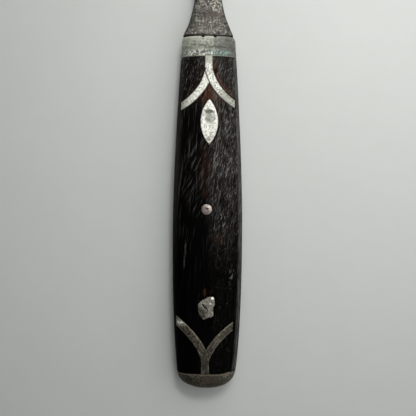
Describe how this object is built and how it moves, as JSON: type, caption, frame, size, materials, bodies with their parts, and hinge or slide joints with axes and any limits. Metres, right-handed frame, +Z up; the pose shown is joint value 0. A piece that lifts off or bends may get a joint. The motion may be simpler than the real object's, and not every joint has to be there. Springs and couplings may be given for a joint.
{
  "type": "fork",
  "caption": "Antique-style table fork: steel tines and full tang, dark wooden scales, cast pewter bolster and butt cap, pewter strip and lozenge inlays on both faces of the handle.",
  "frame": {"origin": "centre of the fork's outline in plan, on the surface that it lies on", "axes": "+Y along the fork towards the tips of the tines, +X across it to the right, +Z up out of its front face"},
  "size_m": [0.02, 0.184, 0.0097],
  "materials": {
    "steel": "old forged steel with a grey-brown patina and fine pits",
    "dark_wood": "near-black brown hardwood, hand-polished, with fine lengthwise pores",
    "pewter": "worn pewter, bright on the inlays and grey-green on the bolster",
    "dark_pewter": "tarnished pewter, brownish dark grey"
  },
  "bodies": {
    "root": {"fork_blade": "steel", "front_scale": "dark_wood", "back_scale": "dark_wood", "bolster": "pewter", "front_bolster_arm": "pewter", "back_bolster_arm": "pewter", "butt_cap": "dark_pewter", "front_butt_strip": "dark_pewter", "back_butt_strip": "dark_pewter", "front_butt_arm": "dark_pewter", "back_butt_arm": "dark_pewter", "upper_lozenge": "pewter", "lower_lozenge": "pewter", "handle_pin": "pewter"}
  },
  "joints": []
}
